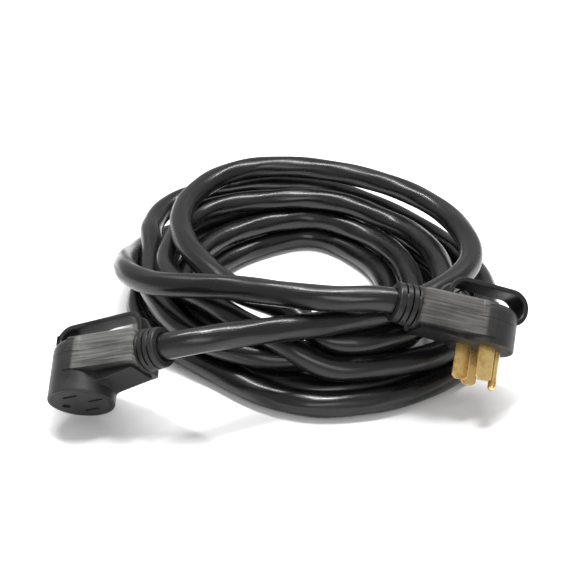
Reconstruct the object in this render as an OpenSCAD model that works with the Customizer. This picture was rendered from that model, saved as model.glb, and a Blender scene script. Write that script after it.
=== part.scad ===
// Shore power cord: heavy four-core cord in a loose coil, right-angle connector and plug, each
// with a moulded handle. Millimetres, +Z up, origin on the floor under the middle of the whole.

/* [Cord] */
// Outside diameter of the cord's jacket
cord_d = 26; // [24:0.5:28]
// Diameter of one insulated core
core_d = 6.6; // [5:0.2:7]

/* [Coil] */
// Radius of the hole in the coiled heap
coil_in_r = 135; // [125:1:140]
// Radius of the heap where it lies on the floor
coil_out_r = 194; // [185:1:200]
// Height of the heap
coil_h = 71; // [60:1:71]

/* [Housings] */
// Diameter of the round end of both housings
shell_d = 65; // [64:1:70]
// Distance from the round end's axis to the rear face
rear_x = 73; // [66:1:76]
// Width across the rear face
rear_w = 46; // [44:1:56]
// Height of the flat side panels
panel_h = 36; // [32:1:36]
// Height of the connector housing above its contact face
conn_h = 58; // [56:1:64]
// Height of the plug housing above its contact face
plug_h = 42; // [41:1:48]
// Width of the keel under both blocks
keel_w = 38; // [34:1:42]

/* [Strain reliefs] */
// Length of the connector's strain relief
conn_relief = 20; // [16:1:24]
// Length of the plug's strain relief
plug_relief = 22; // [16:1:26]
// Diameter of a strain relief where it meets the housing
relief_d = 42; // [40:1:43]
// Diameter of a strain relief where the cord leaves it
relief_tip_d = 38; // [32:1:40]

/* [Handles] */
// Width of a handle's band
band_w = 30; // [24:1:34]
// Thickness of a handle's band
band_t = 5; // [4:0.5:6]
// Height of a handle above its housing
band_rise = 21; // [18:1:28]

/* [Contacts] */
// Width of a flat blade
blade_w = 16; // [15:0.5:17]
// Thickness of a flat blade
blade_t = 2.6; // [2:0.1:3]
// Length of a flat blade beyond the plug's face
blade_len = 34; // [28:1:36]
// Diameter of the round ground pin
pin_d = 8; // [7:0.2:8.4]
// Length of the ground pin beyond the plug's face
pin_len = 38; // [36:1:40]
// Distance of each hot blade from the housing's axis
hot_y = 17; // [16:0.5:17.5]
// Distance of the neutral blade from the axis, towards the cord
neutral_x = 17; // [16.5:0.5:17.5]
// Distance of the ground pin from the axis, towards the nose
ground_x = 18; // [17:0.5:19]

/* [Hidden] */

// Fine enough for smooth rounds
$fn = 64;
// Moves everything so that the origin is under the middle
middle = [-2.5, -5, 0];
// Where each contact face lies, and how each end is turned
conn_pos = [-198, -200, 28];
conn_turn = [-54, -24, -19];
plug_pos = [186, -160, 64];
plug_turn = [43, -19, -175];
// Centre of the coil
coil_pos = [32, 2, 0];
// The cord's axis lies this far below each housing's top
axis_drop = 17;
conn_axis = conn_h - axis_drop;
plug_axis = plug_h - axis_drop;
// Radius of the rounded nose edge
nose_r = 10;
// Drop of the keel below the side panel, at the rear and at the round end
keel_rear = 4;
keel_front = 16;
// Thickness of the moulded walls
wall = 4;
// Diameter of both contact carriers, and their heights
carrier_d = 57;
conn_carrier_h = 36;
plug_carrier_h = 12;
// Running gap between fixed pieces
gap = 0.2;
// Thickness of the connector's front lip over the contacts
lip = 6;
// Room round a blade in its slot, and round the pin in its hole
slot_gap = 0.4;
pin_gap = 0.3;
// Thickness of a spring leaf and of the ground sleeve
leaf_t = 1;
sleeve_t = 1.5;
// How far contacts reach past the carriers, into the wiring space
tail_up = 2;
ground_tail = 6;
// Diameter of the ground pin's shank, inside the plug
shank_d = 6.8;
// Depth of the hole for the ground pin, a little more than the pin's length
pin_room = 40;
// Radii of the handle's rounded corners, and its rims
handle_r = 18;
rim_h = 1.2;
rim_w = 3;
// Ends of the handles along the housing, towards the nose and towards the cord
conn_handle_x = [-29, 70];
plug_handle_x = [-39, 46];
// How far each handle's front foot reaches down from the housing's top
conn_foot = 6;
plug_foot = 16;
// Sides of the cord's tube and of the cores
sides = 10;
// Offset of each core from the cord's axis, sideways and up or down
core_off = 3.7;
// Room under a core's last bend, in each end
conn_tip_room = 0.4;
plug_tip_room = 4;

// Route of the run to the connector, from the strain relief round the top of the heap
conn_route = [
  [-82, -196, 97], [-36, -178, 94], [12, -158, 88], [60, -142, 85], [111, -118, 85],
  [152, -84, 85], [177, -55, 85], [192, -25, 85], [197, 6, 86], [193, 42, 87],
  [178, 84, 89], [147, 126, 92], [102, 160, 95], [50, 181, 98], [4, 190, 99],
  [-40, 189, 98], [-80, 169, 96], [-107, 132, 93], [-120, 86, 90], [-116, 38, 87],
  [-99, -8, 85], [-78, -44, 82], [-58, -72, 76], [-38, -93, 67], [-17, -106, 58]
];
// Route of the run to the plug, from the strain relief over the hole and round the left
plug_route = [
  [40, -152, 116], [2, -140, 113], [-37, -118, 106], [-73, -99, 99], [-107, -85, 92],
  [-138, -68, 85], [-161, -44, 79], [-175, -8, 71], [-179, 42, 59],
  [-171, 92, 45], [-152, 138, 31], [-121, 186, 19], [-80, 218, 13]
];

// Turns a point by three angles, in the order of rotate()
function turn_x(p, a) = [p[0], p[1] * cos(a) - p[2] * sin(a), p[1] * sin(a) + p[2] * cos(a)];
function turn_y(p, a) = [p[0] * cos(a) + p[2] * sin(a), p[1], p[2] * cos(a) - p[0] * sin(a)];
function turn_z(p, a) = [p[0] * cos(a) - p[1] * sin(a), p[0] * sin(a) + p[1] * cos(a), p[2]];
function turned(p, t) = turn_z(turn_y(turn_x(p, t[0]), t[1]), t[2]);
function unit(v) = v / norm(v);

// Direction of a route at point i, from its two neighbours
function heading(p, i) = unit(p[min(i + 1, len(p) - 1)] - p[max(i - 1, 0)]);
// Point k of the ring round route point i, where ref is a direction the route never takes
function ring_point(p, i, k, d, ref) =
  let (t = heading(p, i), side = unit(cross(t, ref)), up = cross(side, t), a = 360 * k / sides)
  p[i] + d / 2 * (cos(a) * side + sin(a) * up);

// A round tube of diameter d that follows a route
module tube(p, d, ref) {
  n = len(p);
  points = [for (i = [0 : n - 1], k = [0 : sides - 1]) ring_point(p, i, k, d, ref)];
  walls = [
    for (i = [0 : n - 2], k = [0 : sides - 1])
    let (k2 = (k + 1) % sides)
    [i * sides + k, i * sides + k2, (i + 1) * sides + k2, (i + 1) * sides + k]
  ];
  near_cap = [for (k = [sides - 1 : -1 : 0]) k];
  far_cap = [for (k = [0 : sides - 1]) (n - 1) * sides + k];
  polyhedron(points, concat([near_cap], walls, [far_cap]), convexity = 10);
}

// Puts a shape that is drawn about an end's own axis where that end lies
module at_connector() {
  translate(middle + conn_pos) rotate(conn_turn) children();
}
module at_plug() {
  translate(middle + plug_pos) rotate(plug_turn) children();
}

// Plan of a housing behind its round end: straight sides tangent to the round
module side_plan() {
  r = shell_d / 2;
  w = rear_w / 2;
  a = atan2(w, rear_x) + acos(r / norm([rear_x, w]));
  tx = r * cos(a);
  ty = r * sin(a);
  polygon([[tx, ty], [tx, -ty], [rear_x, -w], [rear_x, w]]);
}

// Outer shape of a housing of height h
module housing_form(h) {
  r = shell_d / 2;
  base = h - panel_h;
  keel_z = max(0, base - keel_front);
  rotate_extrude()
    union() {
      square([r, h - nose_r]);
      square([r - nose_r, h]);
      translate([r - nose_r, h - nose_r]) intersection() {
        circle(r = nose_r);
        square(nose_r);
      }
    }
  translate([0, 0, base]) linear_extrude(panel_h) side_plan();
  translate([0, keel_w / 2, 0]) rotate([90, 0, 0]) linear_extrude(keel_w)
    polygon([[0, keel_z], [rear_x - 2, base - keel_rear], [rear_x - 2, h - 1], [0, h - 1]]);
}

// Housing with its carrier recess, wiring space and cord passage
module housing(h, carrier_h, axis_z) {
  difference() {
    housing_form(h);
    translate([0, 0, -1]) cylinder(h = carrier_h + 1, d = carrier_d + 2 * gap);
    translate([0, 0, carrier_h - 1]) cylinder(h = h - wall - carrier_h + 1, d = carrier_d - 3);
    translate([0, 0, axis_z]) rotate([0, 90, 0]) cylinder(h = rear_x + 1, d = cord_d + 2);
  }
}

// Ribbed, tapered strain relief round the cord, from the housing's rear face
module strain_relief(axis_z, length) {
  r = relief_d / 2;
  tip = relief_tip_d / 2;
  pitch = length / 4;
  groove = 1.8;
  deep = 2;
  bore = cord_d / 2 + gap;
  slope = (r - tip) / length;
  grooves = [
    for (i = [1 : 3])
    let (x = i * pitch, y = r - slope * x)
    each [[y, x - groove / 2], [y - deep, x - groove / 2], [y - deep, x + groove / 2],
          [y, x + groove / 2]]
  ];
  translate([rear_x, 0, axis_z]) rotate([0, 90, 0]) rotate_extrude()
    polygon(concat([[bore, 0], [r, 0]], grooves, [[tip, length], [bore, length]]));
}

// Rectangle in the x-z plane with round corners
module round_frame(x0, z0, x1, z1, r) {
  translate([x0 + r, z0]) square([x1 - x0 - 2 * r, z1 - z0]);
  translate([x0, z0 + r]) square([x1 - x0, z1 - z0 - 2 * r]);
  for (x = [x0 + r, x1 - r], z = [z0 + r, z1 - r]) translate([x, z]) circle(r = r);
}

// Flat loop of a handle, between outline inset a and inset b
module handle_loop(x, h, foot, a, b, w) {
  z0 = h - foot;
  z1 = h + band_rise;
  translate([0, w / 2, 0]) rotate([90, 0, 0]) linear_extrude(w)
    difference() {
      round_frame(x[0] + a, z0 + a, x[1] - a, z1 - a, handle_r - a);
      round_frame(x[0] + b, z0 + b, x[1] - b, z1 - b, handle_r - b);
    }
}

// Handle: a band with a raised rim along each edge, moulded onto the housing at both feet
module handle(x, h, foot) {
  difference() {
    union() {
      handle_loop(x, h, foot, rim_h, band_t, band_w);
      for (side = [-1, 1]) translate([0, side * (band_w - rim_w) / 2, 0])
        handle_loop(x, h, foot, 0, band_t, rim_w);
    }
    housing_form(h);
    translate([rear_x, 0, h - axis_drop]) rotate([0, 90, 0]) cylinder(h = 60, d = relief_d + 1);
    translate([x[1] - band_t - 40, -shell_d, h - 60]) cube([60, 2 * shell_d, 60]);
  }
}

// One flat blade: chamfered tip below the face, tail above the carrier
module blade() {
  chamfer = 3;
  translate([0, blade_t / 2, 0]) rotate([90, 0, 0]) linear_extrude(blade_t)
    polygon([[-blade_w / 2, plug_carrier_h + tail_up], [-blade_w / 2, chamfer - blade_len],
             [chamfer - blade_w / 2, -blade_len], [blade_w / 2 - chamfer, -blade_len],
             [blade_w / 2, chamfer - blade_len], [blade_w / 2, plug_carrier_h + tail_up]]);
}

// Spring contact for one blade: two leaves joined at the top
module leaf_contact() {
  w = blade_w - 1;
  top = conn_carrier_h + tail_up;
  inner = blade_t / 2 + 0.1;
  for (side = [-1, 1]) translate([-w / 2, side * (inner + leaf_t / 2) - leaf_t / 2, lip + 1])
    cube([w, leaf_t, top - lip - 1]);
  translate([-w / 2, -inner - leaf_t, top - leaf_t]) cube([w, 2 * (inner + leaf_t), leaf_t]);
}

// Slot through the front lip and the pocket behind it
module leaf_pocket() {
  slot_w = blade_w + 2 * slot_gap;
  slot_t = blade_t + 2 * slot_gap;
  pocket_t = blade_t + 2 * leaf_t + 1;
  translate([-slot_w / 2, -slot_t / 2, -1]) cube([slot_w, slot_t, lip + 2]);
  translate([-slot_w / 2, -pocket_t / 2, lip]) cube([slot_w, pocket_t, conn_carrier_h]);
}

// Core of the cord from the rear face, over a bend, down to the top of its contact
module core(offset, turn_at, lift, target, axis_z, top_z, tip_room) {
  start = [rear_x - 1, offset[0], axis_z + offset[1]];
  bend = [turn_at, offset[0], axis_z + offset[1] + lift];
  over = [target[0], target[1], top_z + core_d / 2 + tip_room];
  foot = [target[0], target[1], top_z];
  tube([start, bend, over, foot], core_d, [0, 1, 0]);
}

// Places of the contacts about a housing's axis
hot_x_at = [0, -hot_y];
hot_y_at = [0, hot_y];
neutral_at = [neutral_x, 0];
ground_at = [-ground_x, 0];

module connector_housing() {
  color("#3c3c3a") at_connector() housing(conn_h, conn_carrier_h, conn_axis);
}
module connector_contact_carrier() {
  color("#343434") at_connector() difference() {
    cylinder(h = conn_carrier_h - gap, d = carrier_d);
    for (p = [hot_x_at, hot_y_at, neutral_at]) translate([p[0], p[1], 0]) leaf_pocket();
    translate([ground_at[0], 0, -1]) cylinder(h = lip + 2, d = pin_d + 2 * pin_gap);
    translate([ground_at[0], 0, lip])
      cylinder(h = conn_carrier_h, d = pin_d + 2 * (pin_gap + sleeve_t + gap));
  }
}
module connector_leaf(p) {
  color("#c9a35a") at_connector() translate([p[0], p[1], 0]) leaf_contact();
}
module connector_hot_contact_x() { connector_leaf(hot_x_at); }
module connector_hot_contact_y() { connector_leaf(hot_y_at); }
module connector_neutral_contact() { connector_leaf(neutral_at); }
module connector_ground_sleeve() {
  color("#c9a35a") at_connector() translate([ground_at[0], 0, lip + gap]) difference() {
    cylinder(h = conn_carrier_h + ground_tail - lip - gap, d = pin_d + 2 * (pin_gap + sleeve_t));
    translate([0, 0, -1]) cylinder(h = pin_room - lip - gap + 1, d = pin_d + 2 * pin_gap);
  }
}
module connector_core(offset, turn_at, lift, target, tail) {
  at_connector() core(offset, turn_at, lift, target, conn_axis,
       conn_carrier_h + tail, conn_tip_room);
}
module connector_hot_core_x() {
  color("black") connector_core([-core_off, -core_off], 50, 0, hot_x_at, tail_up);
}
module connector_hot_core_y() {
  color("red") connector_core([core_off, -core_off], 50, 0, hot_y_at, tail_up);
}
module connector_neutral_core() {
  color("white") connector_core([-core_off, core_off], 30, 0, neutral_at, tail_up);
}
module connector_ground_core() {
  color("green") connector_core([core_off, core_off], -10, 5.5, ground_at, ground_tail);
}
module connector_strain_relief() {
  color("#2e2e2e") at_connector() strain_relief(conn_axis, conn_relief);
}
module connector_handle() {
  color("#2a2a2a") at_connector() handle(conn_handle_x, conn_h, conn_foot);
}

module plug_housing() {
  color("#3c3a3a") at_plug() housing(plug_h, plug_carrier_h, plug_axis);
}
module plug_blade_carrier() {
  color("#2c2a28") at_plug() difference() {
    cylinder(h = plug_carrier_h - gap, d = carrier_d);
    for (p = [hot_x_at, hot_y_at, neutral_at]) translate([p[0], p[1], 0])
      cube([blade_w + gap, blade_t + gap, 3 * plug_carrier_h], center = true);
    translate([ground_at[0], 0, -1]) cylinder(h = plug_carrier_h + 2, d = shank_d + gap);
    translate([ground_at[0], 0, -1]) cylinder(h = 2, d = pin_d + gap);
  }
}
module plug_blade(p) {
  color("#c9a35a") at_plug() translate([p[0], p[1], 0]) blade();
}
module plug_hot_blade_x() { plug_blade(hot_x_at); }
module plug_hot_blade_y() { plug_blade(hot_y_at); }
module plug_neutral_blade() { plug_blade(neutral_at); }
module plug_ground_pin() {
  r = pin_d / 2;
  color("#c9a35a") at_plug() translate([ground_at[0], 0, 0]) union() {
    translate([0, 0, r - pin_len]) sphere(r = r);
    translate([0, 0, r - pin_len]) cylinder(h = pin_len - r, r = r);
    translate([0, 0, -1]) cylinder(h = plug_carrier_h + tail_up + 1, d = shank_d);
  }
}
module plug_core(offset, turn_at, target) {
  at_plug() core(offset, turn_at, 0, target, plug_axis, plug_carrier_h + tail_up, plug_tip_room);
}
module plug_hot_core_x() { color("black") plug_core([-core_off, -core_off], 38, hot_x_at); }
module plug_hot_core_y() { color("red") plug_core([core_off, -core_off], 38, hot_y_at); }
module plug_neutral_core() { color("white") plug_core([-core_off, core_off], 30, neutral_at); }
module plug_ground_core() { color("green") plug_core([core_off, core_off], -10, ground_at); }
module plug_strain_relief() {
  color("#2e2e2e") at_plug() strain_relief(plug_axis, plug_relief);
}
module plug_handle() { color("#2a2a2a") at_plug() handle(plug_handle_x, plug_h, plug_foot); }

// Ends of the cord inside a strain relief
function conn_end(x) = conn_pos + turned([x, 0, conn_axis], conn_turn);
function plug_end(x) = plug_pos + turned([x, 0, plug_axis], plug_turn);

module cord_run_to_connector() {
  inside = [conn_end(rear_x + gap), conn_end(rear_x + conn_relief + 2)];
  color("#2b2b2b") translate(middle) tube(concat(inside, conn_route), cord_d, [0, 0, 1]);
}
module cord_coil() {
  top_in = coil_in_r + 8;
  color("#2b2b2b") translate(middle + coil_pos) rotate_extrude($fn = 96)
    polygon([[coil_in_r, 0], [coil_out_r, 0], [coil_out_r, 0.4 * coil_h],
             [coil_out_r - 22, coil_h], [top_in, coil_h], [coil_in_r, coil_h - 12]]);
}
module cord_run_to_plug() {
  inside = [plug_end(rear_x + gap), plug_end(rear_x + plug_relief + 2)];
  color("#2b2b2b") translate(middle) tube(concat(inside, plug_route), cord_d, [0, 0, 1]);
}

connector_housing();
connector_contact_carrier();
connector_hot_contact_x();
connector_hot_contact_y();
connector_neutral_contact();
connector_ground_sleeve();
connector_hot_core_x();
connector_hot_core_y();
connector_neutral_core();
connector_ground_core();
connector_strain_relief();
connector_handle();
plug_housing();
plug_blade_carrier();
plug_hot_blade_x();
plug_hot_blade_y();
plug_neutral_blade();
plug_ground_pin();
plug_hot_core_x();
plug_hot_core_y();
plug_neutral_core();
plug_ground_core();
plug_strain_relief();
plug_handle();
cord_run_to_connector();
cord_coil();
cord_run_to_plug();
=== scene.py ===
# %% [markdown]
# # A heavy shore power cord
# A thick four-core cord lies in a loose coil. One end has a right-angle connector with slots, the
# other a right-angle plug with brass contacts. Each end has a pull handle. The script loads the
# measured solids, then lays better surfaces and finishes over them, in metres.

import math

import bpy
import numpy as np
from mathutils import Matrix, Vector


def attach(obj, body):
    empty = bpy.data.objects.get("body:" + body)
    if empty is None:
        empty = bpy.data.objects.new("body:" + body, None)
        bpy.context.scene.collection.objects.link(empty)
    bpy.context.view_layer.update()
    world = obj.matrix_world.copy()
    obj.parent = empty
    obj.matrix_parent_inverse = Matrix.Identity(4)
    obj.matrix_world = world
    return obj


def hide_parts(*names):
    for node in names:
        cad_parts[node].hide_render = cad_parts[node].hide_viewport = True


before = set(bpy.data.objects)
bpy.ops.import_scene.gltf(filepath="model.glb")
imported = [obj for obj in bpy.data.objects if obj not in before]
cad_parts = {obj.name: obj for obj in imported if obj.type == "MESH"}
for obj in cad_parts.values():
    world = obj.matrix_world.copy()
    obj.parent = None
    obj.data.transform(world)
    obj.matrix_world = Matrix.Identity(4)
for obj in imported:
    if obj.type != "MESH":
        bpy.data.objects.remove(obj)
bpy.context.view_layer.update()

# %% [markdown]
# ## Camera
# The camera looks down at thirty degrees with a long lens, so that the coil keeps its oval shape
# and the two ends stay nearly the same size. It is placed at given numbers, in the same metres.

# %% Camera
MM = 0.001
# The places below are measured from here, in millimetres, as in the solids' own source
MIDDLE = np.array([-2.5, -5.0, 0.0])


def add_camera(place, pitch, lens):
    """A camera at a point, pitched down from level, with a lens in millimetres."""
    data = bpy.data.cameras.new("camera")
    data.lens = lens
    data.sensor_width = 36
    camera = bpy.data.objects.new("camera", data)
    camera.location = place
    camera.rotation_euler = (math.radians(90 - pitch), 0, 0)
    bpy.context.scene.collection.objects.link(camera)
    bpy.context.scene.camera = camera
    return camera


camera = add_camera((-0.0025, -1.1568, 0.705), 30, 75.9)
print("camera at", tuple(camera.location))

# %% [markdown]
# ## Small tools for surfaces
# Most pieces here are rings of points in a row: a shape is a function of two numbers, worked out
# for all of them at once, and neighbouring points are joined by four-sided faces. One helper
# makes those faces, another makes a Blender mesh and lets the piece ride on the one body.

# %% Tools for faces and pieces


def ring_faces(rows, cols):
    """Four-sided faces that join each ring of cols points to the next, closed round the ring."""
    this_ring = np.arange(rows - 1)[:, None] * cols
    next_ring = this_ring + cols
    j = np.arange(cols)[None, :]
    j2 = (j + 1) % cols
    corners = [this_ring + j, next_ring + j, next_ring + j2, this_ring + j2]
    return np.stack(corners, -1).reshape(-1, 4)


def make_piece(name, points, faces, replaced):
    """A mesh object from points in metres and faces; it rides on the body and replaces solids."""
    mesh = bpy.data.meshes.new(name)
    mesh.from_pydata(points.tolist(), [], faces)
    mesh.polygons.foreach_set("use_smooth", [True] * len(mesh.polygons))
    mesh.update()
    piece = bpy.data.objects.new(name, mesh)
    bpy.context.scene.collection.objects.link(piece)
    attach(piece, "root")
    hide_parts(*replaced)
    print(name, len(mesh.vertices), "points", len(mesh.polygons), "faces")
    return piece


# %% [markdown]
# ## Where the two ends lie
# Each end is drawn about its own axis: its contact face is at height 0, its cord leaves towards
# +x, and its handle is on top. Turning by three angles about x, then y, then z, and moving then
# puts it where the solids are. The numbers are those of the solids' own source.

# %% Place of each end


def turn_matrix(x, y, z):
    """Turn by x degrees about X, then y about Y, then z about Z, as one matrix."""
    a, b, c = np.radians([x, y, z])
    about_x = np.array([[1, 0, 0], [0, np.cos(a), -np.sin(a)], [0, np.sin(a), np.cos(a)]])
    about_y = np.array([[np.cos(b), 0, np.sin(b)], [0, 1, 0], [-np.sin(b), 0, np.cos(b)]])
    about_z = np.array([[np.cos(c), -np.sin(c), 0], [np.sin(c), np.cos(c), 0], [0, 0, 1]])
    return about_z @ about_y @ about_x


class End:
    """One moulded end: its place, and the heights that differ between plug and connector."""

    def __init__(self, place, turn, height, relief, handle_x, foot):
        self.place = MIDDLE + np.array(place, float)
        self.turn = turn_matrix(*turn)
        self.height = height
        self.axis_z = height - 17
        self.relief = relief
        self.handle_x = handle_x
        self.foot = foot

    def at(self, points):
        """Points drawn about the end's axis, in millimetres, to points in the scene, in metres."""
        return (self.place + np.asarray(points, float) @ self.turn.T) * MM


connector = End((-198, -200, 28), (-54, -24, -19), 58, 20, (-29, 70), 6)
plug = End((186, -160, 64), (43, -19, -175), 42, 22, (-39, 46), 16)
REAR_X = 73
print("connector face", connector.at([0, 0, 0]), "plug face", plug.at([0, 0, 0]))

# %% [markdown]
# ## The cord's route
# The real cord is one length of stiff cable, 26 mm thick, so its turns stack a whole diameter
# apart, and no bend is tight. The route is a table of where each turn lies, a radius and a
# height at eight stations round the coil, with a run at each end. A smooth line goes through the
# points. Then a short relaxation pushes apart stretches that are nearer than one diameter, lifts
# the cord off the floor and smooths it, as the cable's own stiffness does.

# %% Stations of the route
CORD = 26.0
COIL_MIDDLE = np.array([32.0, 2.0])

# From the connector's strain relief over the front and once round on top of the coil
run_from_connector = np.array([
    [-82, -196, 97], [-36, -178, 94], [12, -158, 88], [60, -142, 85], [111, -118, 85],
    [152, -84, 85], [177, -55, 85], [192, -25, 85], [197, 6, 86], [193, 42, 87],
    [178, 84, 89], [147, 126, 92], [102, 160, 95], [50, 181, 98], [4, 190, 99],
    [-40, 189, 98], [-80, 169, 96], [-107, 132, 93], [-120, 86, 90], [-116, 38, 87],
    [-99, -8, 85], [-78, -44, 83], [-56, -72, 81], [-30, -88, 77], [4, -101, 73],
], float)
# From the floor behind the coil, round the left and over the hole to the plug's strain relief
run_to_plug = np.array([
    [-72, 210, 13], [-116, 192, 14], [-149, 160, 20], [-166, 118, 31], [-175, 70, 44],
    [-178, 25, 59], [-174, -12, 71], [-161, -44, 79], [-138, -68, 85], [-107, -85, 92],
    [-73, -99, 99], [-37, -118, 106], [2, -140, 113], [40, -152, 116],
], float)
# Radius and height of each turn at the front, then every 45 degrees anticlockwise; the last
# turn ends where the run to the plug begins
turns = {
    "top": [(146, 68), (150, 62), (136, 60), (150, 56), (172, 61), (186, 67), (164, 62), (136, 66)],
    "outer": [(161, 48), (177, 37), (184, 38), (178, 47),
              (197, 66), (240, 60), (184, 48), (162, 42)],
    "inner": [(140, 40), (130, 36), (106, 36), (127, 36),
              (170, 38), (160, 40), (150, 36), (134, 40)],
    "low inner": [(134, 13), (112, 13), (82, 13), (108, 13),
                  (170, 13), (152, 13), (140, 13), (130, 13)],
    "low middle": [(160, 13), (160, 13), (150, 14), (158, 15),
                   (196, 40), (202, 40), (198, 14), (163, 13)],
    "low outer": [(180, 13), (185, 13), (188, 13), (192, 13), (216, 13)],
}


def coil_stations():
    """Middle plus radius times the cosine and the sine of the angle, at each height."""
    radius, height = np.concatenate(list(turns.values())).astype(float).T
    angle = np.radians(-90 + 45 * np.arange(len(radius)))
    x = COIL_MIDDLE[0] + radius * np.cos(angle)
    y = COIL_MIDDLE[1] + radius * np.sin(angle)
    return np.stack([x, y, height], -1)


print(len(turns), "turns,", len(coil_stations()), "stations")

# %% Smooth line through stations


def along(points):
    """Distance of each point from the first, measured along the line."""
    steps = np.linalg.norm(np.diff(points, axis=0), axis=1)
    return np.concatenate([[0], np.cumsum(steps)])


def smooth_line(points, spacing):
    """A line through points, resampled at an even spacing: cubic pieces whose slope at each
    point is that of the chord between its neighbours."""
    s = along(points)
    slope = np.gradient(points, s, axis=0)
    at = np.linspace(0, s[-1], int(round(s[-1] / spacing)) + 1)
    k = np.clip(np.searchsorted(s, at, side="right") - 1, 0, len(s) - 2)
    h = (s[k + 1] - s[k])[:, None]
    t = (at - s[k])[:, None] / h
    a, b = points[k], points[k + 1]
    return ((2 * t**3 - 3 * t**2 + 1) * a + (t**3 - 2 * t**2 + t) * h * slope[k]
            + (3 * t**2 - 2 * t**3) * b + (t**3 - t**2) * h * slope[k + 1])


def relief_points(end):
    """Two points on the cord's straight stretch: at an end's rear face, and past its collar."""
    x = np.array([REAR_X + 0.5, REAR_X + end.relief + 2])
    local = np.stack([x, 0 * x, 0 * x + end.axis_z], -1)
    return end.at(local) / MM - MIDDLE


stations = np.concatenate([relief_points(connector), run_from_connector, coil_stations(),
                           run_to_plug, relief_points(plug)[::-1]])
first_route = smooth_line(stations, spacing=12.0)
print("first route", round(along(first_route)[-1]), "mm,", len(first_route), "points")

# %% Relax the route
APART = CORD + 0.2          # how far apart the middles of two stretches should be
NEIGHBOURS = 6              # points this near along the cord don't push each other
COIL_HOLD, RUN_HOLD = 0.02, 0.12
PUSH, SMOOTHING = 0.4, 0.05


def relax(route, rounds):
    """Moves points apart where two stretches are nearer than a diameter, keeps them above the
    floor, pulls each a little towards its first place, and smooths the line. The runs to the
    two ends are held more firmly, and the few points inside each collar stay where they are."""
    points = route.copy()
    order = np.arange(len(points))
    near_on_cord = np.abs(order[:, None] - order[None, :]) < NEIGHBOURS
    hold = np.full(len(points), COIL_HOLD)
    hold[:90], hold[-48:] = RUN_HOLD, RUN_HOLD
    free = np.ones(len(points))
    free[:5], free[-5:] = 0, 0
    for _ in range(rounds):
        gap = points[:, None, :] - points[None, :, :]
        dist = np.sqrt((gap**2).sum(-1)) + 1e-9
        push = np.where((dist < APART) & ~near_on_cord, (APART - dist) / dist, 0)
        move = PUSH * (gap * push[:, :, None]).sum(1)
        bend = np.zeros_like(points)
        bend[2:-2] = (points[:-4] - 4 * points[1:-3] + 6 * points[2:-2]
                      - 4 * points[3:-1] + points[4:])
        move += hold[:, None] * (route - points) - SMOOTHING * bend
        points += free[:, None] * move
        points[:, 2] = np.maximum(points[:, 2], CORD / 2)
    return points


route = relax(first_route, rounds=300)
gap = np.linalg.norm(route[:, None] - route[None], axis=-1)
order = np.arange(len(route))
far = np.abs(order[:, None] - order[None, :]) > NEIGHBOURS
print("length", round(along(route)[-1]), "mm; nearest stretches", round(gap[far].min(), 1),
      "mm; moved at most", round(np.abs(route - first_route).max(), 1), "mm")

# %% [markdown]
# ## Closed shells
# A cord, a strain relief, a pin, a handle and a housing are all rings of points in a row. One
# helper joins the rings, closes each end with a point in its middle, and turns the faces
# outwards when the enclosed volume comes out negative.

# %% Shell from rings


def shell(name, rings, replaced, uv=None, sharp=None, masks=None):
    """Rings of points, as rows by columns by three, joined into a closed surface with poles.
    uv holds a pair for each point, and masks one number for each, for the finish to read. An
    edge that turns by more than sharp degrees is shaded sharp."""
    rows, cols = rings.shape[:2]
    points = np.concatenate([rings.reshape(-1, 3), rings[:1].mean(1), rings[-1:].mean(1)])
    quads = ring_faces(rows, cols)
    j = np.arange(cols)
    j2 = (j + 1) % cols
    last_ring = (rows - 1) * cols
    first_pole, last_pole = np.full(cols, rows * cols), np.full(cols, rows * cols + 1)
    fans = np.concatenate([np.stack([first_pole, j, j2], -1),
                           np.stack([last_pole, last_ring + j2, last_ring + j], -1)])
    tris = np.concatenate([quads[:, [0, 1, 2]], quads[:, [0, 2, 3]], fans])
    a, b, c = points[tris[:, 0]], points[tris[:, 1]], points[tris[:, 2]]
    if (a * np.cross(b, c)).sum() < 0:
        quads, fans = quads[:, ::-1], fans[:, ::-1]
    piece = make_piece(name, points, quads.tolist() + fans.tolist(), replaced)
    for layer_name, grid in (uv or {}).items():
        flat = np.concatenate([grid.reshape(-1, 2), grid[:1].mean(1), grid[-1:].mean(1)])
        corner = np.empty(len(piece.data.loops), dtype=np.int32)
        piece.data.loops.foreach_get("vertex_index", corner)
        layer = piece.data.uv_layers.new(name=layer_name)
        layer.data.foreach_set("uv", flat[corner].astype(np.float32).ravel())
    for mask_name, grid in (masks or {}).items():
        flat = np.concatenate([grid.ravel(), grid[0, :1], grid[-1, :1]])
        layer = piece.data.attributes.new(mask_name, "FLOAT", "POINT")
        layer.data.foreach_set("value", flat.astype(np.float32))
    if sharp is not None:
        piece.data.set_sharp_from_angle(angle=math.radians(sharp))
    return piece


# %% [markdown]
# ## The cord itself
# The jacket is a tube swept along the route. Four cores are twisted inside it, one turn in about
# a quarter of a metre, and they press faintly through: the radius swells by a few tenths of a
# millimetre four times round, and that pattern turns along the cord. The highlights waver on it.

# %% Cord tube


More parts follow.
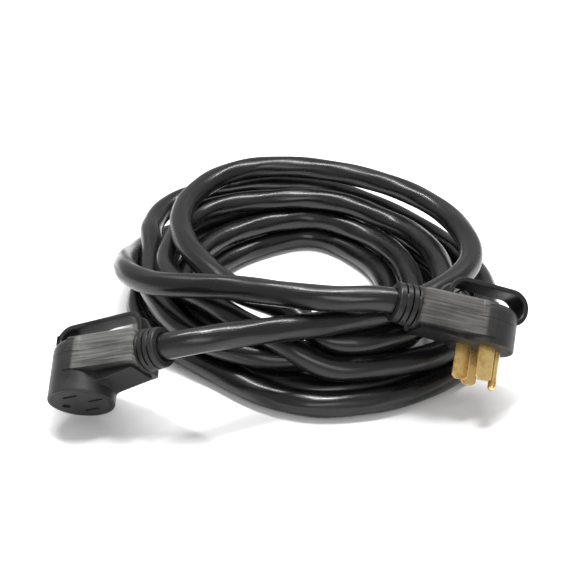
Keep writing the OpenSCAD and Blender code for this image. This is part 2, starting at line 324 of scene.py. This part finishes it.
def swept_tube(route, sides, swell, lay):
    """Radius times cosine of the angle sideways plus radius times sine upwards, along a route;
    the radius swells four times round, turning once in the length lay."""
    s = along(route)[:, None]
    heading = np.gradient(route, axis=0)
    heading /= np.linalg.norm(heading, axis=1)[:, None]
    side = np.cross(heading, [0, 0, 1.0])
    side /= np.linalg.norm(side, axis=1)[:, None]
    up = np.cross(side, heading)
    angle = np.linspace(0, 2 * np.pi, sides, endpoint=False)[None, :]
    radius = CORD / 2 - swell + swell * np.cos(4 * (angle - 2 * np.pi * s / lay))
    rings = (route[:, None] + (radius * np.cos(angle))[..., None] * side[:, None]
             + (radius * np.sin(angle))[..., None] * up[:, None])
    around = np.stack([np.cos(angle) + 0 * s, np.sin(angle) + 0 * s], -1)
    length = np.stack([s * MM + 0 * angle, 0 * s + 0 * angle], -1)
    return rings, around, length


fine_route = smooth_line(route, spacing=5.0)
rings, around, length = swept_tube(fine_route, sides=32, swell=0.22, lay=260.0)
cord = shell("cord", (rings + MIDDLE) * MM,
             ("cord_run_to_connector", "cord_coil", "cord_run_to_plug"),
             uv={"around": around, "length": length})
print("cord", round(along(fine_route)[-1]), "mm long")

# %% [markdown]
# ## Strain reliefs
# Where the cord leaves a housing, a moulded collar spreads its bending. Rings are cut into it,
# each ring tied to the next by short bridges that alternate, so it bends but doesn't tear. It is
# a surface of revolution whose radius drops in the grooves, except at the bridges.

# %% Strain reliefs
BURIED = 6.0                # length of the collar inside the housing
ROOT_R, TAPER = 21.0, 1.6   # radius at the root, and how much less it is at the tip
TIP_ROUND = 1.6
GROOVE_DEPTH, GROOVE_HALF = 2.6, 0.55
FIRST_GROOVE = 0.45         # place of the first groove, in spacings from the root


def relief_rings(end):
    """Radius falls evenly from root to tip; three grooves drop it by 2.6 mm, with smooth sides,
    and two bridges in each groove, a quarter turn on from the last, lift it back."""
    x = np.linspace(-BURIED, end.relief, 150)[:, None]
    angle = np.linspace(0, 2 * np.pi, 120, endpoint=False)[None, :]
    radius = ROOT_R - TAPER * np.clip(x / end.relief, 0, 1)
    spacing = end.relief / 3.6
    number = np.round(x / spacing - FIRST_GROOVE)
    from_middle = np.abs(x - (number + FIRST_GROOVE) * spacing)
    groove = (number >= 0) * (number <= 2) * np.clip(1.6 - from_middle / GROOVE_HALF, 0, 1)
    bridge = np.clip(4 * np.cos(2 * angle + np.pi * number) - 2.6, 0, 1)
    radius = radius - GROOVE_DEPTH * groove * (1 - 0.85 * bridge)
    edge = np.clip((end.relief - x) / TIP_ROUND, 0, 1)
    radius = radius - TIP_ROUND * (1 - np.sqrt(1 - (1 - edge) ** 2))
    y, z = radius * np.cos(angle), radius * np.sin(angle)
    return np.stack([REAR_X + x + 0 * angle, y, end.axis_z + z], -1)


def drawn_in(ring, axis_z, factor, forward):
    """A ring shrunk by a factor towards the collar's axis, and moved forward along it."""
    moved = ring.copy()
    moved[..., 0] += forward
    moved[..., 1] *= factor
    moved[..., 2] = axis_z + (moved[..., 2] - axis_z) * factor
    return moved


def relief(end, name):
    """The collar's outside, then a rounded lip back in to the cord. The grooves and the throat get
    painted shade.
    """
    outside = relief_rings(end)
    across = np.hypot(outside[..., 1], outside[..., 2] - end.axis_z)
    full_radius = ROOT_R - TAPER * (outside[..., 0] - REAR_X) / end.relief
    depth = np.clip((full_radius - across) / 2.0, 0, 1)
    lip = drawn_in(outside[-1:], end.axis_z, 0.8, 0.5)
    throat = drawn_in(lip, end.axis_z, 0.8, -3)
    # Painted shade: dark in the grooves, none on the lip, full in the throat where the cord goes
    # in.
    dark = np.concatenate([depth, 0 * depth[:1], 0 * depth[:1] + 1])
    return shell(name, end.at(np.concatenate([outside, lip, throat])),
                 (name.replace("_collar", ""),), sharp=40, masks={"panel": 0 * dark, "dark": dark})


connector_collar = relief(connector, "connector_strain_relief_collar")
plug_collar = relief(plug, "plug_strain_relief_collar")

# %% [markdown]
# ## Housings
# Each housing is moulded over the contacts: a round end, flat side panels that narrow towards the
# cord, and a narrower keel below them. Seen along the round end's axis it is one outline at each
# height, so it is drawn as a radius for every direction and every height: the larger of a circle
# and a block, blended a little where they meet. The bottom opens into the recess of the contacts.

# %% Sizes of the housings
SHELL_R = 32.5              # radius of the round end
CARRIER_R = 28.7            # radius of the recess for the contacts
PANEL = 36.0                # height of the side panels, down from the top
PANEL_HALF = SHELL_R - 0.6  # their half width at the round end's axis
REAR_HALF = 23.0            # their half width at the rear face
KEEL_HALF = 19.0            # half width of the keel
SEAM = 0.5 * PANEL          # height of the parting line above the panels' lower edge
NOSE_ROUND, TOP_ROUND, REAR_CORNER = 10, 4, 3
TINY, FAR_OFF = 1e-3, 1e3
print("housings", 2 * SHELL_R, "mm across, with a seam", SEAM, "mm up the panels")

# %% Outline of a housing at each height


def block_radius(angle, half_front, half_rear, rear):
    """Distance from the axis to the edge of a block that narrows towards its rear face: the
    nearer of the rear face and the side, drawn in a little at the corner between them."""
    c, s = np.cos(angle), np.abs(np.sin(angle))
    towards_side = s + (half_front - half_rear) / rear * c
    to_rear = np.where(c > TINY, rear / np.maximum(c, TINY), FAR_OFF)
    to_side = np.where(towards_side > TINY, half_front / np.maximum(towards_side, TINY), FAR_OFF)
    corner = REAR_CORNER * np.exp(-((to_rear - to_side) / (1.6 * REAR_CORNER)) ** 2) * 0.35
    return np.where(c > 0, np.minimum(to_rear, to_side) - corner, 0)


def quarter_round(z, top, size):
    """How far a quarter circle of a radius, ending at the top, has drawn in at height z."""
    part = np.clip((z - (top - size)) / size, 0, 1)
    return size * (1 - np.sqrt(1 - part**2))


def outline_radius(end, angle, z):
    """The larger of the round end's circle and the block's edge, blended where they meet. Near
    the top the circle draws in by a quarter round, and the block by a smaller one."""
    base = end.height - PANEL
    keel_front, keel_rear = max(0.0, base - 16), base - 4
    rim = 0.6 * np.clip(1 - z / 1.2, 0, 1)
    circle = SHELL_R - quarter_round(z, end.height, NOSE_ROUND) - rim
    draw_in = quarter_round(z, end.height, TOP_ROUND)
    panel = block_radius(angle, PANEL_HALF - draw_in, REAR_HALF - draw_in, REAR_X - draw_in)
    reach = np.clip((z - keel_front) / (keel_rear - keel_front), 0, 1) * (REAR_X - 3)
    keel = block_radius(angle, KEEL_HALF, KEEL_HALF - 2, np.maximum(reach, 1))
    block = np.where(z >= base - 0.1, panel, keel)
    return np.maximum(circle, block) + 1.2 * np.exp(-((circle - block) / 2.5) ** 2) * (block > 20)


# %% Seam, ledge and grip ribs of a housing


def cut_depth(end, angle, z, radius):
    """How deep the parting line, the ledge above it and the ribs near the cord cut in."""
    base = end.height - PANEL
    seam = base + SEAM
    x = radius * np.cos(angle)
    side = np.clip((np.abs(np.sin(angle)) * radius - 12) / 4, 0, 1)
    parting = np.exp(-((z - seam) / 0.35) ** 2) * side
    ledge = np.clip((z - seam) / 0.3, 0, 1) * np.clip(x - 14, 0, 1) * side
    grip = (x > 56) & (x < 66) & (z > base + 3) & (z < seam - 3)
    ribs = (np.cos(x * 2 * np.pi / 2.4) > 0.2) * grip * side
    return (0.55 * parting + 0.45 * ledge + 0.3 * ribs) * (z > base)


# %% Housings


def housing_rings(end):
    """Radius for every direction and height. Directions are closest together towards the cord,
    and heights where the surface turns."""
    top, base = end.height, end.height - PANEL
    u = np.linspace(-1, 1, 480, endpoint=False)
    angle = (np.pi * (0.35 * u + 0.65 * u**3))[None, :]
    z = np.concatenate([
        [0.0, 0.4, 1.2], np.linspace(2, base - 0.6, 26), [base - 0.25, base, base + 0.15],
        np.linspace(base + 0.8, top - 12, 60), np.linspace(top - 11.6, top, 30)])[:, None]
    radius = outline_radius(end, angle, z)
    return radius - cut_depth(end, angle, z, radius), angle, z


def level_rings(radius, angle, height):
    """Radius times cosine and radius times sine of the angle, at each height."""
    radius = radius + 0 * angle
    return np.stack([radius * np.cos(angle), radius * np.sin(angle), height + 0 * radius], -1)


def housing(end, name, replaced, recess):
    """Outside from the top pole down to the rim, then up inside the recess to its ceiling. The
    panel mask is the flat sides, which get painted sheen; the dark mask is painted shade on the
    keel, the recess and the seam."""
    radius, angle, z = housing_rings(end)
    ceiling = recess + 10
    top = level_rings(radius[-1:] * 0.5, angle, z[-1:])
    outside = level_rings(radius, angle, z)[::-1]
    wall = np.array([[CARRIER_R + 0.2], [CARRIER_R], [CARRIER_R], [CARRIER_R]])
    inside = level_rings(wall, angle, np.array([[0.0], [0.4], [recess * 0.5], [ceiling]]))
    lid = level_rings(np.array([[10.0]]), angle, np.array([[ceiling]]))
    rings = np.concatenate([top, outside, inside, lid])
    x, height = rings[..., 0], rings[..., 2]
    base = end.height - PANEL
    # Painted sheen goes on the panel mask; the dark mask is painted shade on the keel, the recess
    # mouth and the seam groove.
    panel = np.clip((x - 8) / 3, 0, 1) * np.clip((height - base + 0.5) / 1.5, 0, 1)
    keel = np.clip((x - 26) / 8, 0, 1) * np.clip((base - height) / 1.5, 0, 1)
    opening = (height < 1.0) & (np.hypot(x, rings[..., 1]) < 30)
    seam = 0.8 * np.exp(-((height - base - SEAM) / 0.45) ** 2) * np.clip((x + 4) / 12, 0, 1)
    return shell(name, end.at(rings), replaced, sharp=30,
                 uv={"own": np.stack([x, height], -1) * MM},
                 masks={"panel": panel, "dark": np.maximum(np.maximum(keel, opening), seam)})


connector_body = housing(connector, "connector_body", ("connector_housing",), 36)
plug_body = housing(plug, "plug_body", ("plug_housing",), 12)

# %% [markdown]
# ## Handles
# A handle is a flat band, bent into a long loop over the housing, with a raised rim along each
# edge for grip. The band's cross-section, drawn once, is carried along the loop's middle line.
# The connector's band also narrows, and lifts a little, on its way to the foot near the cord.

# %% Middle line of a handle
BAND_HALF, BAND_THICK = 15.0, 5.0   # half its width, and its thickness
BAND_RISE, BAND_BEND = 21.0, 15.5   # its top above the housing, and the radius of its bends


def handle_line(end):
    """Middle line of the band: round the front foot, up, over the top, and down to the rear
    foot, with quarter circles between straight pieces, as x and height."""
    r, t = BAND_BEND, BAND_THICK
    x0, x1 = end.handle_x[0] + t / 2, end.handle_x[1] - t / 2
    z0, z1 = end.height - end.foot + t / 2, end.height + BAND_RISE - t / 2
    quarter = np.linspace(0, np.pi / 2, 14)
    foot = np.stack([x0 + r - r * np.sin(quarter), z0 + r - r * np.cos(quarter)], -1)
    front = np.stack([x0 + r - r * np.cos(quarter), z1 - r + r * np.sin(quarter)], -1)
    back = np.stack([x1 - r + r * np.sin(quarter), z1 - r + r * np.cos(quarter)], -1)
    run = np.linspace(front[-1], back[0], 24)[1:-1]
    rear_foot = np.array([[x1, end.height - 3.0]])
    return np.concatenate([foot, front, run, back, rear_foot])


print("handle lines", round(along(handle_line(connector))[-1]), "and",
      round(along(handle_line(plug))[-1]), "mm")

# %% Handle bands


def handle_section():
    """Width and thickness of the band all the way round: a rim 1.2 mm proud along each edge of
    the outside, and every corner rounded."""
    w, out, inn = BAND_HALF, BAND_THICK / 2, -BAND_THICK / 2
    low = out - 1.2
    return np.array([
        [-w, inn + 0.8], [-w, out - 0.7], [-w + 0.25, out - 0.2], [-w + 0.8, out], [-w + 2.2, out],
        [-w + 2.8, out - 0.25], [-w + 3.2, low], [-w + 6, low - 0.1], [0, low - 0.1],
        [w - 6, low - 0.1], [w - 3.2, low], [w - 2.8, out - 0.25], [w - 2.2, out], [w - 0.8, out],
        [w - 0.25, out - 0.2], [w, out - 0.7], [w, inn + 0.8], [w - 0.8, inn], [w - 6, inn],
        [0, inn], [-w + 6, inn], [-w + 0.8, inn]])


def handle(end, name, rear_width=1.0, rear_lift=0.0):
    """The section swept along the line, its thickness across the line and its width along y.
    Towards the rear foot the width eases to rear_width of itself and the top lifts a little."""
    line = smooth_line(handle_line(end), spacing=1.2)
    tangent = np.gradient(line, axis=0)
    tangent /= np.linalg.norm(tangent, axis=1)[:, None]
    normal = np.stack([-tangent[:, 1], tangent[:, 0]], -1)
    y, across = handle_section().T
    x = line[:, 0, None] + normal[:, 0, None] * across
    z = line[:, 1, None] + normal[:, 1, None] * across
    back = np.clip((line[:, 0, None] - end.handle_x[0] - 8) / 50, 0, 1)
    ease = back * back * (3 - 2 * back)
    width = 1 - (1 - rear_width) * ease
    z = z + rear_lift * ease * np.clip((line[:, 1, None] - end.height) / 15, 0, 1)
    rings = np.stack([x, y[None, :] * width, z], -1)
    return shell(name, end.at(rings), (name.replace("_band", ""),), sharp=38,
                 masks={"panel": 0 * x, "dark": 0 * x})


connector_band = handle(connector, "connector_handle_band", rear_width=0.55, rear_lift=4.0)
plug_band = handle(plug, "plug_handle_band")

# %% [markdown]
# ## Blades and ground pin
# The blades are rolled brass strip, chamfered at the tip; the ground pin is turned from rod with
# a round tip. Each blade is an outline carried through its thickness, with its edges broken by a
# small bevel. The pin is a profile turned round its axis.

# %% Brass contacts of the plug
HOT_Y, NEUTRAL_X, GROUND_X = 17.0, 17.0, 18.0   # how far each is from the plug's axis


def blade(name, x, y, replaced):
    """Outline in the plane of the blade, eight millimetres either side of its middle, drawn at
    four depths so that the thin edges are rounded, then closed by the shell's poles."""
    half, tip, tail, chamfer, thick = 8.0, -34.0, 14.0, 3.0, 1.3
    outline = np.array([[-half, tail], [-half, tip + chamfer], [-half + chamfer, tip],
                        [half - chamfer, tip], [half, tip + chamfer], [half, tail]])
    middle = outline.mean(0)
    depth = np.array([-thick, -thick, -thick + 0.3, thick - 0.3, thick, thick])
    inset = np.array([0.5, 0.96, 1.0, 1.0, 0.96, 0.5])
    flat = middle + (outline - middle)[None] * inset[:, None, None]
    rings = np.stack([x + flat[..., 0], y + depth[:, None] + 0 * flat[..., 0], flat[..., 1]], -1)
    return shell(name, plug.at(rings), (replaced,), sharp=20)


def ground_pin(name):
    """Radius 4 mm down to the tip, where a quarter circle takes it to nothing."""
    radius, tip, tail, levels = 4.0, -38.0, 14.0, 20
    quarter = np.linspace(0.06, np.pi / 2, 14)
    z = np.concatenate([tip + radius - radius * np.cos(quarter),
                        np.linspace(tip + radius, tail, levels)[1:]])[:, None]
    r = np.concatenate([radius * np.sin(quarter), np.full(levels - 1, radius)])[:, None]
    angle = np.linspace(0, 2 * np.pi, 40, endpoint=False)[None, :]
    rings = np.stack([r * np.cos(angle) - GROUND_X, r * np.sin(angle), z + 0 * angle], -1)
    return shell(name, plug.at(rings), ("plug_ground_pin",), sharp=50)


brass = [blade("blade_hot_x", 0, -HOT_Y, "plug_hot_blade_x"),
         blade("blade_hot_y", 0, HOT_Y, "plug_hot_blade_y"),
         blade("blade_neutral", NEUTRAL_X, 0, "plug_neutral_blade"),
         ground_pin("ground_pin")]

# %% [markdown]
# ## Writing finishes as sums
# Shader nodes are joined up like a small formula. One class wraps a socket, so that adding or
# multiplying two of them adds the Math node that does it; colours go through a Mix node. Every
# other node comes from one method that takes its type, its settings and its inputs.

# %% Sockets that can be added and multiplied


class Wire:
    """One output socket in a material, with arithmetic."""

    def __init__(self, finish, socket):
        self.finish = finish
        self.socket = socket

    def maths(self, operation, a, b):
        return self.finish.node("ShaderNodeMath", {"operation": operation}, {0: a, 1: b})

    def __add__(self, other):
        return self.maths("ADD", self, other)

    __radd__ = __add__

    def __mul__(self, other):
        return self.maths("MULTIPLY", self, other)

    __rmul__ = __mul__

    def __sub__(self, other):
        return self.maths("SUBTRACT", self, other)

    def __rsub__(self, other):
        return self.maths("SUBTRACT", other, self)

    def clipped(self):
        return self.finish.node("ShaderNodeClamp", {}, {0: self})


class Finish:
    """A material being built round one Principled shader. Words are joined by _ in a socket's
    name here, and by a space in Blender."""

    def __init__(self, name, **constants):
        self.material = bpy.data.materials.new(name)
        self.material.use_nodes = True
        self.tree = self.material.node_tree
        self.shader = self.tree.nodes["Principled BSDF"]
        for socket, value in constants.items():
            self.shader.inputs[socket.replace("_", " ")].default_value = value

    def node(self, kind, settings, inputs, out=0):
        """A node of a kind, its settings first, then values or wires into its inputs."""
        made = self.tree.nodes.new(kind)
        for key, value in settings.items():
            setattr(made, key, value)
        for key, value in inputs.items():
            if isinstance(value, Wire):
                self.tree.links.new(value.socket, made.inputs[key])
            else:
                made.inputs[key].default_value = value
        return Wire(self, made.outputs[out])

    def place(self):
        return self.node("ShaderNodeTexCoord", {}, {}, "Object")

    def noise(self, where, scale, detail=4.0, rough=0.55):
        return self.node("ShaderNodeTexNoise", {},
                         {"Vector": where, "Scale": scale, "Detail": detail, "Roughness": rough})

    def step(self, wire, low, high):
        """0 below low, 1 above high, smooth between."""
        return self.node("ShaderNodeMapRange", {"interpolation_type": "SMOOTHSTEP"},
                         {"Value": wire, "From Min": low, "From Max": high})

    def blend(self, factor, a, b):
        return self.node("ShaderNodeMix", {"data_type": "RGBA"}, {0: factor, 6: a, 7: b}, 2)

    def feed(self, **wires):
        for socket, wire in wires.items():
            self.tree.links.new(wire.socket, self.shader.inputs[socket.replace("_", " ")])

    def bump(self, height, distance, strength=1.0):
        self.feed(Normal=self.node("ShaderNodeBump", {},
                                   {"Strength": strength, "Distance": distance, "Height": height}))

    def done(self):
        """The finished material, once its nodes are counted out loud."""
        print(self.material.name, "finish,", len(self.tree.nodes), "nodes")
        return self.material


def grey(level):
    return (level, level, level, 1)


# %% [markdown]
# ## Cord jacket
# The jacket is extruded vinyl: black, with a gloss that is broken by fine drag lines along the
# cord, by dull patches where it has rubbed, and by a little dust. The pattern is laid along the
# cord, by distance from its end and by direction round it, so it bends with every turn.

# %% Jacket finish


def jacket_finish():
    """Patches, lines and grain are noise drawn out along the cord, each finer than the last."""
    f = Finish("jacket", Specular_IOR_Level=0.33, Coat_Roughness=0.16)
    around = f.node("ShaderNodeUVMap", {"uv_map": "around"}, {})
    length = f.node("ShaderNodeUVMap", {"uv_map": "length"}, {})
    s = f.node("ShaderNodeSeparateXYZ", {}, {0: length})
    a = f.node("ShaderNodeSeparateXYZ", {}, {0: around})
    b = f.node("ShaderNodeSeparateXYZ", {}, {0: around}, 1)
    slow = f.node("ShaderNodeCombineXYZ", {}, {0: s * 6.0, 1: a * 0.6, 2: b * 0.6})
    drag = f.node("ShaderNodeCombineXYZ", {}, {0: s * 9.0, 1: a * 7.0, 2: b * 7.0})
    fine = f.node("ShaderNodeCombineXYZ", {}, {0: s * 700.0, 1: a * 9.0, 2: b * 9.0})
    patches = f.noise(slow, 2.2, 5)
    lines = f.noise(drag, 1.6, 3)
    grain = f.noise(fine, 1.0, 3)
    rubbed = f.step(patches, 0.50, 0.68)
    dust = f.step(f.noise(f.place(), 60.0, 5), 0.56, 0.75) * 0.35
    tone = f.blend(rubbed * 0.55 + dust * 0.5, grey(0.004), grey(0.013))
    rough = 0.19 + 0.08 * patches + 0.08 * lines + 0.16 * rubbed + 0.10 * dust
    f.feed(Base_Color=tone, Roughness=rough.clipped(), Coat_Weight=(0.25 - 0.2 * rubbed).clipped())
    f.bump(lines * 0.7 + grain * 0.10 + patches * 0.8, 0.0004, 0.55)
    return f.done()


# %% [markdown]
# ## Moulded vinyl
# Housings, collars and handles are injection moulded. The skin is satin with a fine spark grain,
# slightly blotchy where the melt cooled, greyer where hands and pavements have rubbed it. They
# differ only in tone, gloss and coarseness, so one function makes them all. The flat side panels
# of the housings also carry painted sheen, lighter grey in thin streaks that run towards the cord,
# and a dark mask paints shade on the keels, seams, recess mouths and collar grooves.

# %% Moulded finishes


def moulded_finish(name, dark, worn, rough_low, rough_high, grain_scale, grain_height, painted_sheen=None):
    """Clouds and scuffs turn the dark tone towards the worn one. Where a painted sheen colour is
    given it lies in streaks on the panel mask, and the dark mask adds painted shade."""
    f = Finish(name, Specular_IOR_Level=0.35)
    where = f.place()
    blotch = f.noise(where, 26.0, 5)
    grain = f.noise(where, grain_scale, 2)
    scuff = f.step(f.noise(where, 90.0, 6, 0.7), 0.54, 0.70)
    cloud = f.step(blotch, 0.40, 0.66)
    tone = f.blend((cloud * 0.55 + scuff * 0.30).clipped(), grey(dark), grey(worn))
    # Painted sheen: lighter grey streaks on the flat side panels of the housings.
    if painted_sheen:
        panel = f.node("ShaderNodeAttribute", {"attribute_name": "panel"}, {}, "Fac")
        own = f.node("ShaderNodeUVMap", {"uv_map": "own"}, {})
        drawn = f.node("ShaderNodeMapping", {}, {0: own, 3: (16.0, 420.0, 1.0)})
        streaks = f.step(f.noise(drawn, 1.0, 4) * 0.8 + blotch * 0.3, 0.44, 0.68)
        tone = f.blend((panel * (0.30 + 0.70 * streaks)).clipped(), tone, painted_sheen)
    # Painted shade: the dark mask darkens keels, recess mouths, seams and collar grooves.
    painted_shade = f.node("ShaderNodeAttribute", {"attribute_name": "dark"}, {}, "Fac")
    tone = f.blend(painted_shade * 0.85, tone, grey(0.003))
    rough = rough_low + (rough_high - rough_low) * (0.7 * cloud + 0.3 * scuff)
    f.feed(Base_Color=tone, Roughness=rough)
    f.bump(grain + 0.6 * scuff + 1.2 * blotch, grain_height, 0.5)
    return f.done()


# %% [markdown]
# ## Brass
# Rolled brass is yellow metal with fine lines along its length, a warmer brown where it has
# tarnished, and small bright rubs from going in and out of sockets.

# %% Brass finish


def brass_finish():
    """Tarnish browns the metal in clouds, rubs brighten it, and lines run down the blades."""
    f = Finish("brass", Metallic=1.0)
    where = f.place()
    tarnish = f.step(f.noise(where, 70.0, 6, 0.6), 0.42, 0.68)
    lined = f.node("ShaderNodeMapping", {}, {0: where, 3: (900.0, 900.0, 90.0)})
    lines = f.noise(lined, 1.0, 3)
    rub = f.step(f.noise(where, 320.0, 3), 0.60, 0.72)
    warm = f.blend(tarnish, (0.86, 0.62, 0.25, 1), (0.50, 0.30, 0.10, 1))
    tone = f.blend(rub * 0.4, warm, (0.92, 0.78, 0.48, 1))
    f.feed(Base_Color=tone, Roughness=0.24 + 0.16 * tarnish + 0.10 * lines)
    f.bump(lines + 0.5 * rub, 0.0001, 0.5)
    return f.done()


# %% [markdown]
# ## Wire insulation
# Inside each end the four cores are seen only if the part is cut open. Their thin insulation is
# coloured plastic, a little paler where powder from the factory has stayed on it.

# %% Wire insulation finish


def insulation_finish(name, colour):
    """One colour, paler and rougher in soft marks."""
    f = Finish(name)
    marks = f.step(f.noise(f.place(), 140.0, 4), 0.45, 0.70)
    paler = tuple(0.75 * c + 0.05 for c in colour) + (1,)
    f.feed(Base_Color=f.blend(marks, colour + (1,), paler), Roughness=0.38 + 0.15 * marks)
    return f.done()


# %% [markdown]
# ## Putting the finishes on
# New pieces get one material each. The contacts, carriers and cores of the solids have the right
# shape already, so they stay and only their material slot changes.

# %% Give every new piece its finish


def dress(piece, material):
    """One material over the whole piece."""
    piece.data.materials.clear()
    piece.data.materials.append(material)


# Lighter greys of the painted sheen on each housing's flat side panels.
socket_painted_sheen, plug_painted_sheen = (0.125, 0.128, 0.120, 1), (0.088, 0.085, 0.082, 1)
jacket = jacket_finish()
socket_skin = moulded_finish("connector skin", 0.009, 0.026, 0.40, 0.60, 1500, 0.00012,
                             socket_painted_sheen)
plug_skin = moulded_finish("plug skin", 0.008, 0.024, 0.40, 0.60, 1500, 0.00012, plug_painted_sheen)
collar_skin = moulded_finish("collar skin", 0.007, 0.020, 0.38, 0.56, 1300, 0.00010)
band_skin = moulded_finish("handle skin", 0.006, 0.018, 0.36, 0.55, 1100, 0.00012)
carrier_skin = moulded_finish("carrier skin", 0.010, 0.026, 0.50, 0.70, 1800, 0.00010)
brass_skin = brass_finish()
dress(cord, jacket)
dress(connector_body, socket_skin)
dress(plug_body, plug_skin)
for piece in (connector_collar, plug_collar):
    dress(piece, collar_skin)
for piece in (connector_band, plug_band):
    dress(piece, band_skin)
for piece in brass:
    dress(piece, brass_skin)

# %% Give the solids that stay their finish


def dress_solid(node, material):
    """A solid's shape stays, and its material slot gets a better finish."""
    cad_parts[node].material_slots[0].material = material


cores = {"hot_core_x": (0.012, 0.012, 0.012), "hot_core_y": (0.50, 0.02, 0.015),
         "neutral_core": (0.75, 0.75, 0.72), "ground_core": (0.02, 0.28, 0.07)}
for ending, colour in cores.items():
    skin = insulation_finish(ending.replace("_", " ") + " insulation", colour)
    for end_name in ("connector", "plug"):
        dress_solid(end_name + "_" + ending, skin)
for node in ("connector_contact_carrier", "plug_blade_carrier"):
    dress_solid(node, carrier_skin)
for node in ("hot_contact_x", "hot_contact_y", "neutral_contact", "ground_sleeve"):
    dress_solid("connector_" + node, brass_skin)
print(len(bpy.data.materials), "materials")

# %% [markdown]
# ## What the cord is
# The cord leaves the connector at its collar and ends in the plug. Its real length is twenty-five
# feet, which is what the turns add up to. The plug's pieces lie on the cord's far end.

EXIT = connector.at([REAR_X + connector.relief, 0, connector.axis_z])
on_plug = [plug_body, plug_collar, plug_band, *brass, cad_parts["plug_blade_carrier"]]
on_plug += [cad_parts["plug_" + ending] for ending in cores]
(fine_route + MIDDLE) * MM
print("cord leaves the connector at", EXIT, "with", len(on_plug), "pieces on its far end")

# %% [markdown]
# ## Floor and light
# A pale seamless floor and a bright room make soft grey reflections. Two long lamps overhead put
# the narrow bright streaks on top of every turn, and a wide one in front lifts the near sides.

# %% Floor, room and lamps


def add_floor(size):
    """A flat square at height nought."""
    mesh = bpy.data.meshes.new("floor")
    h = size / 2
    mesh.from_pydata([(-h, -h, 0), (h, -h, 0), (h, h, 0), (-h, h, 0)], [], [(0, 1, 2, 3)])
    floor = bpy.data.objects.new("floor", mesh)
    bpy.context.scene.collection.objects.link(floor)
    f = Finish("floor paper", Roughness=0.9, Specular_IOR_Level=0.2)
    f.feed(Base_Color=f.blend(f.noise(f.place(), 3.0, 2), grey(0.88), grey(0.92)))
    dress(floor, f.done())


def add_lamp(name, place, size, power):
    """A rectangular lamp of a size in metres, pointed from a place at the heart of the coil."""
    data = bpy.data.lights.new(name, "AREA")
    data.shape = "RECTANGLE"
    data.size, data.size_y = size
    data.energy = power
    lamp = bpy.data.objects.new(name, data)
    lamp.location = place
    towards = Vector((0, 0, 0.05)) - Vector(place)
    lamp.rotation_euler = towards.to_track_quat("-Z", "Y").to_euler()
    bpy.context.scene.collection.objects.link(lamp)


add_floor(8)
world = bpy.data.worlds.new("room")
world.use_nodes = True
background = world.node_tree.nodes["Background"]
background.inputs["Color"].default_value = (1, 1, 1, 1)
background.inputs["Strength"].default_value = 0.55
bpy.context.scene.world = world
add_lamp("strip left", (-0.35, 0.25, 1.6), (0.10, 1.4), 26)
add_lamp("strip right", (0.35, 0.25, 1.6), (0.10, 1.4), 26)
add_lamp("front softbox", (0, -2.2, 1.4), (1.6, 0.8), 16)
bpy.context.scene.view_settings.view_transform = "Standard"
bpy.context.scene.view_settings.look = "None"
print(len(bpy.data.lights), "lamps")
